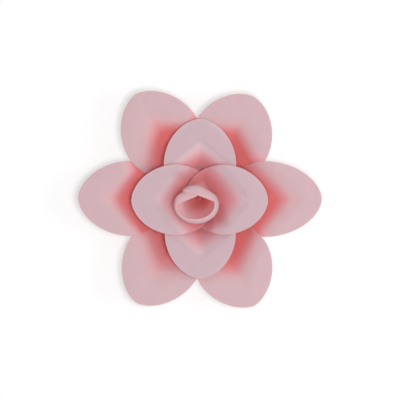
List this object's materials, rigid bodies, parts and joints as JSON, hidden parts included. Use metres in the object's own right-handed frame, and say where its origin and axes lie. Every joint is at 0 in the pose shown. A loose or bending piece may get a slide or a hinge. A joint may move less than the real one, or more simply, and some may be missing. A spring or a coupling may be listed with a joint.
{
  "type": "giant paper flower",
  "caption": "Giant pink paper flower with an outer and an inner ring of darted paper petals, a rolled paper bud and a flat card backing disc.",
  "frame": {"origin": "centre of the backing disc's back face, on the surface that the flower lies on or is fixed to", "axes": "+Z out of the flower's face, +Y towards its top, +X towards its right as seen from the front"},
  "size_m": [0.3001, 0.2664, 0.0859],
  "materials": {
    "outer_paper": "matte",
    "inner_paper": "matte",
    "bud_paper": "matte",
    "backing_card": "matte"
  },
  "bodies": {
    "root": {"backing_disc": "backing_card", "bud": "bud_paper", "inner_petal_bottom": "inner_paper", "inner_petal_left": "inner_paper", "inner_petal_right": "inner_paper", "inner_petal_top": "inner_paper", "outer_petal_left": "outer_paper", "outer_petal_lower_left": "outer_paper", "outer_petal_lower_right": "outer_paper", "outer_petal_right": "outer_paper", "outer_petal_upper_left": "outer_paper", "outer_petal_upper_right": "outer_paper"}
  },
  "joints": []
}
